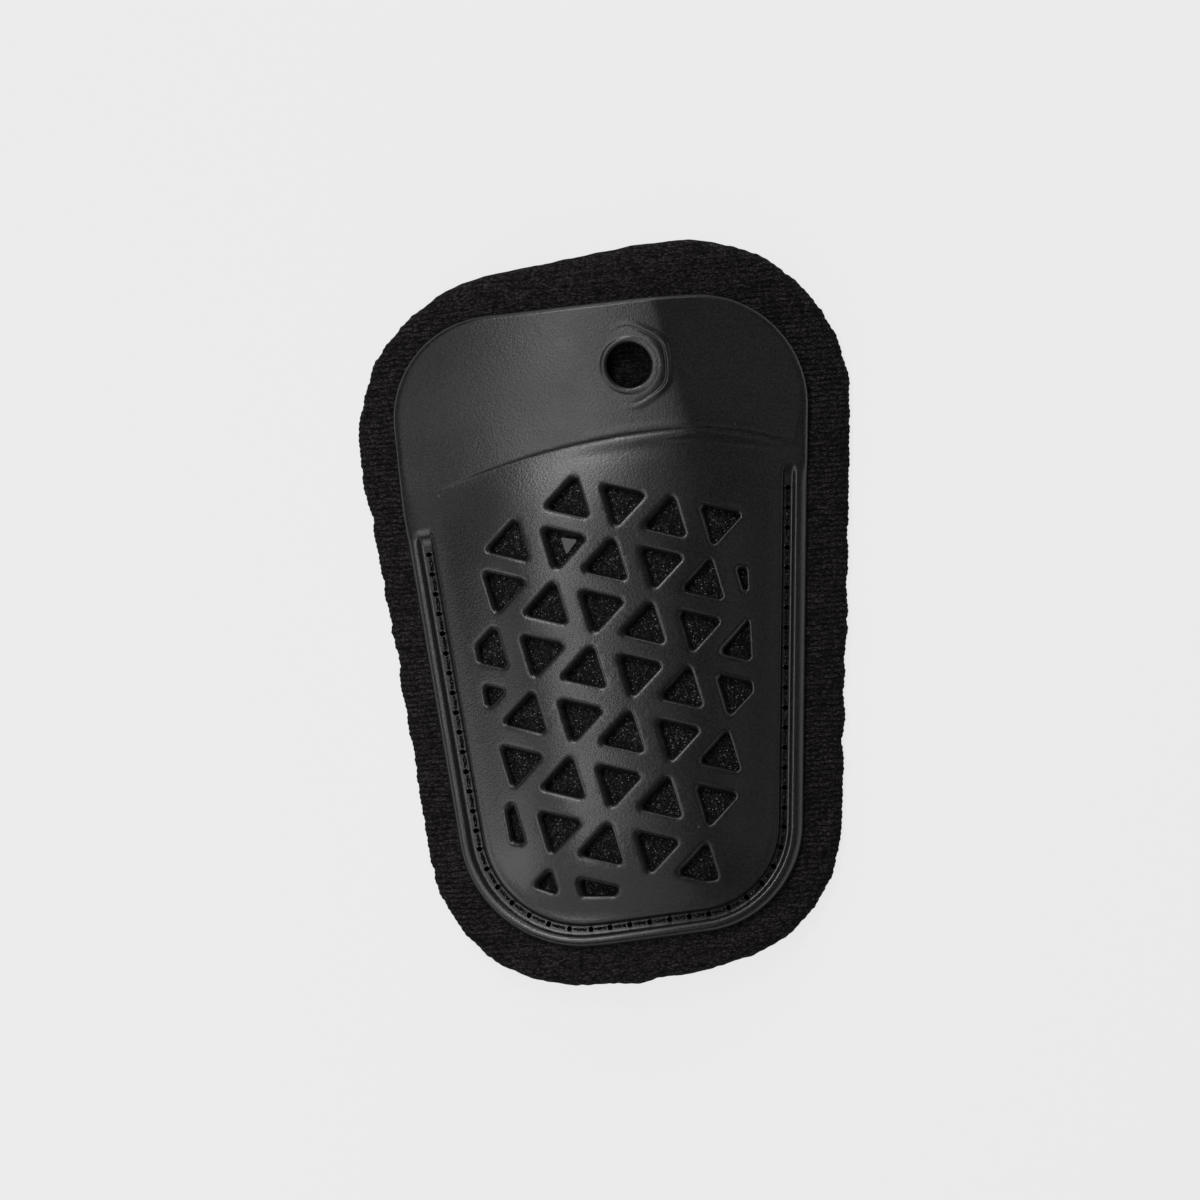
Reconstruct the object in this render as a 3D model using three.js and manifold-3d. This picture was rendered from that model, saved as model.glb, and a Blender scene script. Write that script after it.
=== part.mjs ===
// Guard for a shin: a pierced plastic shell over a foam insert, sewn to an arched soft pad.
// Millimetres. +X across the guard, +Y up the guard to its free flap, +Z out from the shin.
// The guard lies on its back: z = 0 is the plane under the pad's two long feet.
import * as THREE from 'three';
import { mergeGeometries, mergeVertices } from 'three/addons/utils/BufferGeometryUtils.js';
import Module from 'manifold-3d';

const wasm = await Module();
wasm.setup();

// Pad. Outline corners are [x, y, rounding radius], counter-clockwise.
const PAD_OUTLINE = [
  [32.5, -56.8, 24],
  [44.6, 61.3, 27],
  [11, 62.3, 66],
  [-44.4, 55.8, 28],
  [-38.5, 0.8, 72],
  [-33.4, -61, 25],
  [-0.2, -62.3, 50],
];
const PAD_THICK = 5;
const PAD_SIDES = 84;
const ARCH_CURVE = 0.0055; // fall of the arch per square millimetre from the middle line
const FOOT_HALF = 35.4; // half of the span between the feet at mid length
const FOOT_TAPER = 0.1; // change of that half span per millimetre up the guard

// Rings of the pad from the middle of its back round the edge to the middle of its face:
// share of the outline, share of the thickness.
const PAD_RINGS = [
  [0, 0],
  [0.3, 0],
  [0.58, 0],
  [0.8, 0],
  [0.925, 0],
  [0.985, 0],
  [1, 0.22],
  [1, 0.55],
  [0.985, 0.83],
  [0.955, 0.97],
  [0.91, 1],
  [0.72, 1],
  [0.48, 1],
  [0.24, 1],
  [0, 1],
];

// Shell.
const SHELL_OUTLINE = [
  [26.6, -54, 18.6],
  [36.6, 52.9, 18.6],
  [8, 53.2, 90],
  [-36.1, 51.8, 17.4],
  [-35.5, 21, 60],
  [-28.8, -55.9, 21],
  [-7, -55.8, 60],
];
const SHELL_THICK = 2;
const SEAT_GAP = 0.3; // clearance between parts that touch
const CELL = 4; // grid of the curved faces

// Straight sides of the shell, as x at mid length and lean, for distances in from the edge.
const LEFT_SIDE = -33.5;
const LEFT_LEAN = -0.0857;
const RIGHT_SIDE = 31.5;
const RIGHT_LEAN = 0.0935;
const BOTTOM_SIDE = -55.7;
const CORNER_SOFT = 20;

// Dome under the pierced field.
const DOME_RISE = 2.6;
const DOME_FOOT = 4; // distance of its foot from the shell's edge
const DOME_RUN = 20;
const SHOULDER_RUN = 10; // run of its upper shoulder below the crease

// Crease between dome and flap, an arc with its top right of the middle.
const CREASE_X = 12;
const CREASE_Y = 30.4;
const CREASE_LEFT = 236; // squared half-run per millimetre of drop
const CREASE_RIGHT = 96;

// Flap: a rounded left face, a flat right face, and the ridge between them.
const RIDGE_X = 10.2;
const RIDGE_Y = 53;
const RIDGE_LEAN = 0.213;
const RIDGE_LIFT = 2.7;
const FLAP_LEFT = -36;
const FLAP_RIGHT = 34.6;
const FLAP_LIFT = 0.6; // how far the free flap stands off the pad
const FLAP_START = 6; // height where the ridge begins to grow out of the dome
const FLAP_FULL = 26;

// Round hole in the flap, with its six-sided collar.
const EYE_X = 4.9;
const EYE_Y = 42.4;
const EYE_DIA = 7.9;
const COLLAR_HALF = 6.8; // half of the width across flats
const COLLAR_LEAN = 0.09; // slope of the collar's face across the flap

// Sewing groove along the left side, the bottom and the right side.
const GROOVE_IN = 2.5; // distance of its middle line from the edge
const GROOVE_SKEW = 0.4; // more on the right, less on the left
const GROOVE_WIDE = 1.9;
const GROOVE_DEEP = 0.9;
const GROOVE_TOP_LEFT = 15.5;
const GROOVE_TOP_RIGHT = 22;

// Pierced field: rows of triangles that point up and down in turn.
const CELL_SIDE = 8;
const CELL_ROUND = 0.6;
const CELL_TURN = -17.5; // degrees
const FIRST_CELL = [-12.64, 32.07];
const CELL_STEP = [16.15, -4.63]; // to the next triangle that points the same way
const ROW_STEP = [5.54, -11.39];
const DOWN_STEP = [8.62, -1.0]; // from one that points up to its neighbour that points down
const ROW_SPREAD = -0.061; // opening of the rows away from the fourth
// First and last triangle of each row, counting both ways; odd numbers point down.
const ROWS = [[0, 3], [-2, 3], [-3, 2], [-4, 1], [-5, 0], [-5, -1], [-6, -2], [-6, -5]];
const FIELD = [[20.4, -45.6], [24, 26], [-27.9, 26], [-20.6, -47]];

// Foam insert under the dome.
const FOAM_OUTLINE = [
  [20.6, -47.6, 11],
  [25.8, 25, 9],
  [12, 28.2, 30],
  [-27.2, 21.6, 9],
  [-21.4, -48.6, 12],
];

const SHELL_PLASTIC = { color: 0x1a1a1b, roughness: 0.42, metalness: 0 };
const FOAM_DARK = { color: 0x121213, roughness: 0.95, metalness: 0 };
const PAD_CLOTH = { color: 0x161515, roughness: 1, metalness: 0 };

const clamp = (v) => Math.min(1, Math.max(0, v));
const ease = (v) => clamp(v) ** 2 * (3 - 2 * clamp(v));
const swell = (v) => 1 - (1 - clamp(v)) ** 2;

// Heights over the plan.
function archHeight(x, y) {
  const half = FOOT_HALF + FOOT_TAPER * y;
  return ARCH_CURVE * (half * half - x * x);
}

function padFace(x, y) {
  return archHeight(x, y) + PAD_THICK;
}

function seat(x, y) {
  return padFace(x, y) + SEAT_GAP;
}

function creaseAt(x) {
  const run = x - CREASE_X;
  return CREASE_Y - (run * run) / (run < 0 ? CREASE_LEFT : CREASE_RIGHT);
}

function edgeDistance(x, y) {
  const left = x - (LEFT_SIDE + LEFT_LEAN * y);
  const right = RIGHT_SIDE + RIGHT_LEAN * y - x;
  const side = Math.max(CORNER_SOFT - Math.min(left, right), 0);
  const low = Math.max(CORNER_SOFT - (y - BOTTOM_SIDE), 0);
  return CORNER_SOFT - Math.hypot(side, low);
}

function ridgeAt(y) {
  return RIDGE_X + (RIDGE_Y - y) * RIDGE_LEAN;
}

function flapBack(x, y) {
  const ridge = ridgeAt(y);
  const crest = seat(ridge, y) + RIDGE_LIFT;
  if (x > ridge) {
    const t = (x - ridge) / (FLAP_RIGHT - ridge);
    return crest + (seat(FLAP_RIGHT, y) - crest) * t;
  }
  const t = (ridge - x) / (ridge - FLAP_LEFT);
  return crest + (seat(FLAP_LEFT, y) - crest) * t * t;
}

function shellBack(x, y) {
  const share = ease((y - FLAP_START) / (FLAP_FULL - FLAP_START));
  const body = seat(x, y) + share * Math.max(flapBack(x, y) - seat(x, y), 0);
  const below = creaseAt(x) - y;
  const dome = DOME_RISE * swell((edgeDistance(x, y) - DOME_FOOT) / DOME_RUN) * swell(below / SHOULDER_RUN);
  return body + dome + FLAP_LIFT * ease(-below / 8);
}

function shellFace(x, y) {
  return shellBack(x, y) + SHELL_THICK;
}

// Outline with an arc at each corner; two arcs that don't fit on their side are both made smaller.
function roundedShape(corners) {
  const bends = corners.map(([x, y, radius], k) => {
    const before = corners[(k + corners.length - 1) % corners.length];
    const after = corners[(k + 1) % corners.length];
    const here = new THREE.Vector2(x, y);
    const back = new THREE.Vector2(before[0], before[1]).sub(here);
    const ahead = new THREE.Vector2(after[0], after[1]).sub(here);
    const length = ahead.length();
    back.normalize();
    ahead.normalize();
    const half = Math.acos(back.dot(ahead)) / 2;
    return { here, back, ahead, length, half, reach: radius / Math.tan(half), share: 1 };
  });
  bends.forEach((bend, k) => {
    const next = bends[(k + 1) % bends.length];
    const fit = (0.96 * bend.length) / (bend.reach + next.reach);
    bend.share = Math.min(bend.share, fit);
    next.share = Math.min(next.share, fit);
  });
  const shape = new THREE.Shape();
  bends.forEach(({ here, back, ahead, half, reach, share }) => {
    const radius = reach * share * Math.tan(half);
    const middle = back.clone().add(ahead).normalize().multiplyScalar(radius / Math.sin(half)).add(here);
    const start = back.clone().multiplyScalar(reach * share).add(here).sub(middle);
    const end = ahead.clone().multiplyScalar(reach * share).add(here).sub(middle);
    const turn = start.x * end.y - start.y * end.x;
    shape.absarc(middle.x, middle.y, radius, start.angle(), end.angle(), turn < 0);
  });
  shape.closePath();
  return shape;
}

function prism(shape, low, high, segments) {
  const body = new THREE.ExtrudeGeometry(shape, {
    depth: high - low,
    bevelEnabled: false,
    curveSegments: segments,
  });
  return body.translate(0, 0, low);
}

// Sets the height of every vertex, the faces above the middle apart from those below.
function drape(body, middle, above, below) {
  const place = body.attributes.position;
  for (let k = 0; k < place.count; k += 1) {
    const height = place.getZ(k) > middle ? above : below;
    place.setZ(k, height(place.getX(k), place.getY(k)));
  }
  return body;
}

// Curved sheet over a rectangle of the plan.
function sheet(x0, x1, y0, y1, above, below) {
  const across = Math.round((x1 - x0) / CELL);
  const along = Math.round((y1 - y0) / CELL);
  const body = new THREE.BoxGeometry(x1 - x0, y1 - y0, 2, across, along, 1);
  body.translate((x0 + x1) / 2, (y0 + y1) / 2, 0);
  return drape(body, 0, above, below);
}

function solid(body) {
  const bare = body.clone();
  bare.deleteAttribute('normal');
  bare.deleteAttribute('uv');
  const joined = mergeVertices(bare, 1e-4);
  return new wasm.Manifold(new wasm.Mesh({
    numProp: 3,
    vertProperties: new Float32Array(joined.attributes.position.array),
    triVerts: new Uint32Array(joined.index.array),
  }));
}

function part(name, body, look) {
  const mesh = body.getMesh();
  const shape = new THREE.BufferGeometry();
  shape.setAttribute('position', new THREE.Float32BufferAttribute(mesh.vertProperties, 3));
  shape.setIndex(Array.from(mesh.triVerts));
  shape.computeVertexNormals();
  const made = new THREE.Mesh(shape, new THREE.MeshStandardMaterial(look));
  made.name = name;
  return made;
}

// Keeps the part of a convex polygon on the left of a line.
function trim(points, from, to) {
  const side = (p) => (to[0] - from[0]) * (p[1] - from[1]) - (to[1] - from[1]) * (p[0] - from[0]);
  const kept = [];
  points.forEach((p, k) => {
    const q = points[(k + 1) % points.length];
    const a = side(p);
    const b = side(q);
    if (a >= 0) kept.push(p);
    if (a * b < 0) {
      const t = a / (a - b);
      kept.push([p[0] + (q[0] - p[0]) * t, p[1] + (q[1] - p[1]) * t]);
    }
  });
  return kept;
}

function cellPrism(row, number) {
  const down = Math.abs(number % 2);
  const step = (number - down) / 2;
  const x = FIRST_CELL[0] + step * CELL_STEP[0] + row * ROW_STEP[0] + down * DOWN_STEP[0];
  const spread = ROW_SPREAD * (row - 4) ** 2;
  const y = FIRST_CELL[1] + step * CELL_STEP[1] + row * ROW_STEP[1] + down * DOWN_STEP[1] + spread;
  let points = [0, 1, 2].map((k) => {
    const angle = THREE.MathUtils.degToRad(CELL_TURN + (down ? -90 : 90) + 120 * k);
    const reach = CELL_SIDE / Math.sqrt(3);
    return [x + reach * Math.cos(angle), y + reach * Math.sin(angle)];
  });
  FIELD.forEach((from, k) => {
    points = trim(points, from, FIELD[(k + 1) % FIELD.length]);
  });
  return prism(roundedShape(points.map((p) => [...p, CELL_ROUND])), 1, 30, 1);
}

// Groove as a band that follows the edge of the shell, open at the flap.
function grooveBand() {
  const loop = roundedShape(SHELL_OUTLINE).getSpacedPoints(96);
  const count = loop.length - 1;
  const rim = loop.slice(0, count).map((p, k) => {
    const ahead = loop[(k + 1) % count];
    const back = loop[(k + count - 1) % count];
    const out = new THREE.Vector2(ahead.y - back.y, back.x - ahead.x).normalize();
    return { p, out, inset: GROOVE_IN + GROOVE_SKEW * out.x };
  });
  const sewn = ({ p }) => p.y < (p.x < 0 ? GROOVE_TOP_LEFT : GROOVE_TOP_RIGHT);
  const first = rim.findIndex((at, k) => sewn(at) && !sewn(rim[(k + count - 1) % count]));
  const run = rim.map((_, k) => rim[(first + k) % count]).filter(sewn);
  const at = (edge, shift) => edge.p.clone().addScaledVector(edge.out, -edge.inset + shift);
  const outer = run.map((edge) => at(edge, GROOVE_WIDE / 2));
  const inner = run.map((edge) => at(edge, -GROOVE_WIDE / 2)).reverse();
  const floor = (x, y) => shellFace(x, y) - GROOVE_DEEP;
  const roof = (x, y) => shellFace(x, y) + 3;
  const band = drape(prism(new THREE.Shape([...outer, ...inner]), 0, 1, 1), 0.5, roof, floor);
  const ends = [run[0], run[run.length - 1]].map((edge) => {
    const round = new THREE.CylinderGeometry(GROOVE_WIDE / 2, GROOVE_WIDE / 2, 1, 12).rotateX(Math.PI / 2);
    const middle = at(edge, 0);
    return drape(round.translate(middle.x, middle.y, 0.5), 0.5, roof, floor);
  });
  return ends.reduce((sum, end) => sum.add(solid(end)), solid(band));
}

function collar() {
  const reach = COLLAR_HALF / Math.cos(Math.PI / 6);
  const body = new THREE.CylinderGeometry(reach, reach, 2, 6);
  body.rotateX(Math.PI / 2).translate(EYE_X, EYE_Y, 0);
  const start = EYE_X - COLLAR_HALF;
  const face = (x, y) => shellFace(start, y) + COLLAR_LEAN * (x - start);
  return solid(drape(body, 0, face, (x, y) => face(x, y) - SHELL_THICK));
}

function eye() {
  const body = new THREE.CylinderGeometry(EYE_DIA / 2, EYE_DIA / 2, 30, 32);
  return solid(body.rotateX(Math.PI / 2).translate(EYE_X, EYE_Y, 15));
}

function shell() {
  const blank = solid(sheet(-38, 38, -58, 54, shellFace, shellBack))
    .intersect(solid(prism(roundedShape(SHELL_OUTLINE), 0, 30, 6)));
  const cells = ROWS.flatMap(([first, last], k) =>
    Array.from({ length: last - first + 1 }, (_, n) => cellPrism(k + 1, first + n)));
  return blank
    .add(collar())
    .subtract(solid(mergeGeometries(cells)))
    .subtract(eye())
    .subtract(grooveBand());
}

function foamInsert() {
  const face = (x, y) => shellBack(x, y) - SEAT_GAP;
  const bed = (x, y) => seat(x, y);
  return solid(sheet(-30, 30, -52, 32, face, bed))
    .intersect(solid(prism(roundedShape(FOAM_OUTLINE), 0, 30, 4)));
}

// Pad: rings of its outline, from the middle of the back round the edge to the middle of the face.
function pad() {
  const edge = roundedShape(PAD_OUTLINE).getSpacedPoints(PAD_SIDES);
  const rings = PAD_RINGS.map(([share, level]) => new THREE.Vector2(share, level));
  const body = new THREE.LatheGeometry(rings, PAD_SIDES);
  const place = body.attributes.position;
  for (let k = 0; k < place.count; k += 1) {
    const ring = rings[k % rings.length];
    const rim = edge[Math.floor(k / rings.length) % PAD_SIDES];
    const x = rim.x * ring.x;
    const y = rim.y * ring.x;
    const back = Math.max(archHeight(x, y), 0);
    place.setXYZ(k, x, y, back + (padFace(x, y) - back) * ring.y);
  }
  const bare = mergeVertices(body.deleteAttribute('normal').deleteAttribute('uv'), 1e-4);
  const faces = [];
  for (let k = 0; k < bare.index.count; k += 3) {
    const [a, b, c] = [0, 1, 2].map((n) => bare.index.getX(k + n));
    if (a !== b && b !== c && c !== a) faces.push(a, b, c);
  }
  bare.setIndex(faces);
  return solid(bare);
}

const guard = new THREE.Group();
guard.name = 'shin_guard';
guard.add(part('shell', shell(), SHELL_PLASTIC));
guard.add(part('foam_insert', foamInsert(), FOAM_DARK));
guard.add(part('pad', pad(), PAD_CLOTH));

export default guard;
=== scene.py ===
"""Shin guard: a vented plastic shell with a free flap, over dark foam, sewn to a soft knit-faced pad.

Metres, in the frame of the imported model: +X across the guard, +Y up to its flap, +Z out from the shin.
"""
import math

import bmesh
import bpy
from bpy.props import FloatProperty, FloatVectorProperty, PointerProperty
from mathutils import Matrix, Vector, kdtree, noise


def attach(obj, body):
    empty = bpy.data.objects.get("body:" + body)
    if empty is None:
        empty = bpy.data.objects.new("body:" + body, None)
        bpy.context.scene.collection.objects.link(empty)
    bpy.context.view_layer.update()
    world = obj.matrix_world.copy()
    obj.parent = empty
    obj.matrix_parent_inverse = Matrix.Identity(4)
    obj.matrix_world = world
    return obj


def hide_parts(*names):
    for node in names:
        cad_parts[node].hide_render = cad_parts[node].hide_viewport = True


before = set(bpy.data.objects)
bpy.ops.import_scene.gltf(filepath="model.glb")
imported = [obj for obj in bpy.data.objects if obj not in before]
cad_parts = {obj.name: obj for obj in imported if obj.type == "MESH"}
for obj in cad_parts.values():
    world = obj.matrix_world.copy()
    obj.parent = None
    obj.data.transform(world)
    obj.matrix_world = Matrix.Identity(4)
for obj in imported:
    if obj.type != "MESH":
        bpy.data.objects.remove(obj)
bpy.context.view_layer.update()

bl_info = {
    "name": "Shin Guard",
    "version": (1, 0, 0),
    "blender": (4, 5, 0),
    "location": "3D View > Sidebar > Guard",
    "description": "Builds a sewn shin guard with a vented shell and a soft pad",
    "category": "Add Mesh",
}

MM = 0.001

# Outline corners in millimetres: x, y, radius of the arc.
PAD_CORNERS = (
    (32.5, -56.8, 24),
    (44.6, 61.3, 27),
    (11, 62.3, 66),
    (-44.4, 55.8, 28),
    (-38.5, 0.8, 72),
    (-33.4, -61, 25),
    (-0.2, -62.3, 50),
)
SHELL_CORNERS = (
    (26.6, -54, 18.6),
    (36.6, 52.9, 18.6),
    (8, 53.2, 90),
    (-36.1, 51.8, 17.4),
    (-35.5, 21, 60),
    (-28.8, -55.9, 21),
    (-7, -55.8, 60),
)
FOAM_CORNERS = (
    (20.6, -47.6, 11),
    (25.8, 25, 9),
    (12, 28.2, 30),
    (-27.2, 21.6, 9),
    (-21.4, -48.6, 12),
)
# Edge of the vented field, a polygon that trims the vents.
FIELD_CORNERS = (
    (20.1, -45.6),
    (22.65, 26),
    (-27.9, 26),
    (-21.45, -38.5),
    (-18.9, -44.6),
    (-14, -46.7),
    (-5, -47.4),
)
# First and last vent of each row; odd numbers point down.
VENT_ROWS = ((0, 3), (-2, 3), (-3, 2), (-4, 1), (-5, 0), (-5, -1), (-6, -2), (-6, -5))

# Section of the shell's edge in millimetres, from its back corner inwards: inset,
# extra inset on the right (less on the left), height where sewn, height on the flap, lip on the flap's top.
EDGE_SECTION = (
    (0.0, 0.0, -2.0, -2.0, 0.0),
    (0.0, 0.0, -1.5, -0.95, 0.0),
    (0.12, 0.05, -0.95, -0.58, 0.0),
    (0.4, 0.15, -0.42, -0.31, 0.0),
    (0.85, 0.28, -0.04, -0.2, 0.02),
    (1.2, 0.3, -0.02, -0.15, 0.05),
    (1.5, 0.3, -0.08, -0.11, 0.07),
    (1.75, 0.3, -0.3, -0.08, 0.07),
    (2.0, 0.25, -0.75, -0.05, 0.05),
    (2.2, 0.2, -1.0, -0.03, 0.03),
    (2.55, 0.12, -1.0, 0.0, 0.0),
    (3.5, 0.02, -1.0, 0.0, 0.0),
    (3.65, 0.0, -1.0, 0.0, 0.0),
    (3.8, 0.0, -0.5, 0.0, 0.0),
    (3.95, 0.0, -0.1, 0.0, 0.0),
    (4.2, 0.0, 0.0, 0.0, 0.0),
    (4.7, 0.0, 0.0, 0.0, 0.0),
)
NEEDLE_BAND = 11  # step of the section that holds the needle holes
# Section of the pad: inset in millimetres, share of the thickness.
PAD_SECTION = (
    (9, 0),
    (5, 0),
    (2, 0),
    (0.7, 0.04),
    (0.15, 0.2),
    (0, 0.48),
    (0.25, 0.76),
    (0.9, 0.95),
    (2.0, 1),
    (3.3, 1),
    (4.8, 1),
    (6.6, 1),
    (9, 1),
)
# Rounding of a hole's rim in millimetres, from the face down: growth of the opening, height.
VENT_RIM = ((0.7, 0), (0.36, -0.05), (0.08, -0.22), (-0.12, -0.55), (-0.26, -1.0), (-0.34, -2))
EYE_RIM = (
    (1.5, 0),
    (1.32, 0),
    (1.2, 0.02),
    (1.08, 0.1),
    (0.92, 0.17),
    (0.7, 0.2),
    (0.45, 0.18),
    (0.24, 0.08),
    (0.09, -0.1),
    (0.02, -0.4),
    (0, -0.9),
    (0, -1.5),
    (0, -2),
)
VENT_LEAN = (-1.2, 0.7)  # shift of a vent's walls per millimetre of growth
TAPER_ROOM = 1.5 * MM  # vents with less room than this have steeper walls
RIM_FADE = 0.85  # share of the round hole's bead that is lost on its right
# Rings of the collar: growth of its hexagon in millimetres.
COLLAR_RINGS = (0.25, 0, -0.2, -0.4, -0.6, -0.8, -1.0, -1.12, -1.24, -1.36, -1.48, -1.6, -1.8)
# Cuts of the face along the crease and along the ridge, in millimetres from them.
CREASE_CUTS = (-2.2, -1.5, -1.0, -0.7, -0.45, -0.25, 0, 0.25, 0.45, 0.7, 1.0, 1.3, 1.6, 1.9, 2.3)
RIDGE_CUTS = (-0.9, -0.45, 0, 0.45, 0.9)
# One stitch: share of the pitch, height over the shell's face in millimetres.
STITCH_ARC = (
    (0.12, -1.9),
    (0.16, -1.3),
    (0.23, -0.98),
    (0.36, -0.84),
    (0.5, -0.8),
    (0.64, -0.84),
    (0.77, -0.98),
    (0.84, -1.3),
    (0.88, -1.9),
)
THREAD_STEPS = 22
THREAD_TWIST = 2.4 * math.pi  # turn of the plies along one stitch
THREAD_LEAN = 0.25 * MM  # shift of the stitches along the two sides
PLY_FLAT = 0.5  # height of the twist as a share of its width
NEEDLE_MARGIN = 2  # stations without needle holes at each end of the groove
NEEDLE_INSET = 0.03 * MM
# Steps down into a needle hole in millimetres: inset, depth.
NEEDLE_STEPS = ((0.04, 0.15), (0.1, 0.5))
# Corners of the patch of skin in millimetres: x, y.
FILM_CORNERS = ((-9.0, 13.9), (-6.2, 13.3), (-8.3, 10.9))
FILM_ROUND = 0.4 * MM
FILM_THICK = 0.25 * MM
FILM_SINK = 0.1 * MM

MIDDLE_ROW = 4  # row of vents from which the others spread
ARC_FIT = 0.48  # most of a vent's side that one corner's arc may take
COLLAR_ROUND = 4  # corner radius of the collar in millimetres
COLLAR_POWER = 8  # the higher, the sharper the corners of the collar's rise
CHANNEL_DEEP = 0.6  # depth of the collar's fine line as a share of its rise
RIDGE_SOFT_RUN = 20 * MM  # run of the ridge's softening down from the flap's top
RIDGE_BLUNT_RUN = 2.5 * MM  # run of its blunting below the crease
DOME_ROUNDING = 0.12  # rounding of the dome's foot as a share of its run
CREASE_START = -30 * MM  # left end of the crease
CREASE_RUN = 8 * MM  # run over which it deepens from there
CREASE_FADE = 5 * MM  # run of the valley's lower side
LIP_START = -6 * MM  # left end of the lip above the crease
LIP_RUN = 10 * MM
LIP_RIGHT = 0.35  # share of the lip that goes on right of the ridge
LIP_PAST = 1 * MM  # where it falls off, right of the ridge
LIP_FALL = 1.5 * MM
LIP_WIDE = 1.2 * MM
LIP_SIDE = 0.9 * MM  # width of each slope of the lip
FREE_NARROW = 0.6  # how much narrower the edge's section is round the flap
SIDE_WIDE = 0.08  # how much wider it is along the two sides
BEAD_TILT = 0.25  # slope of the bead's top, opposite on the two sides
BEAD_FROM = 0.8  # insets between which the bead's top lies, in millimetres
BEAD_TO = 1.6
BEAD_MIDDLE = 0.9
GRID_SNAP = 0.06  # share of a grid step within which a cut keeps to a vertex
LINE_SNAP = 0.03 * MM  # the same for cuts along a line
CREASE_NEAR = 5 * MM  # faces nearer than this are cut along the crease
RIDGE_NEAR = 4 * MM  # and along the ridge
PLATE_STEP = 0.9 * MM
VENT_STEP = 0.3 * MM
COLLAR_STEP = 0.4 * MM
PLAIN_STEP = 4 * MM  # mesh size of faces that are hidden or plain

FOAM_EDGE = 1.5 * MM  # spacing of points along the foam's edge
FOAM_CELL = 1.1 * MM
FINE_CELLS = 2.3  # how much smaller its small cells are
FOAM_LEAST = 0.05 * MM  # least thickness under a cell
FILL_FRAMES = 20  # steps of the cloth that fills the pad's rim
RIM_CLEAR = 0.4 * MM  # the pad is held up to this far outside the shell
HELD_LEVEL = 0.25  # and below this share of its thickness
# Unevenness of the pad: reach in from the edge, then sizes of the waves.
EDGE_REACH = 2.2 * MM
RIB_WANDER = 6 * MM
EDGE_LONG = 4.5 * MM
EDGE_SHORT = 1.6 * MM
EDGE_SHORT_SHARE = 0.6
CALM_EDGE = 0.25  # least share of the edge's wave, at the top
FACE_WAVE = 3.5 * MM
FACE_RISE = 0.12 * MM
FACE_REACH = 12 * MM
FACE_LEVEL = 0.4  # only above this share of the thickness

# Lamps: name, place in metres, width and length in metres, power in watts.
LAMPS = (
    ("upper", (-0.24, 0.58, 1.02), (0.22, 0.3), 4.7),
    ("overhead", (-0.34, 0.05, 1.25), (0.16, 1.0), 4.1),
    ("ceiling", (-0.12, 0.05, 1.3), (0.37, 1.0), 0.75),
    ("left", (-0.9, 0, 0.98), (0.25, 0.8), 0.5),
    ("near", (-0.195, -0.1, 0.155), (0.09, 0.12), 0.1),
    ("right", (0.95, -0.25, 0.95), (0.35, 0.4), 0.2),
    ("lower", (-0.26, -0.74, 0.92), (1.2, 0.5), 1.7),
    ("back", (0.1, 1.2, 0.6), (1.2, 0.35), 5.0),
)
WORLD_GLOW = 0.06
FLOOR_GLOW = 0.905
FLOOR_GREY = (0.06, 0.06, 0.06, 1)
AIM_HIGH = 8 * MM  # height at which the picture has its stated width


def length(name, description, millimetres):
    """Length property with its default in millimetres."""
    metres = millimetres * MM
    return FloatProperty(name=name, description=description, default=metres, unit="LENGTH", precision=5)


def factor(name, description, value):
    """Plain number property."""
    return FloatProperty(name=name, description=description, default=value, precision=4)


def colour(name, description, value):
    """Colour property."""
    return FloatVectorProperty(name=name, description=description, default=value, subtype="COLOR", size=3)


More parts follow.
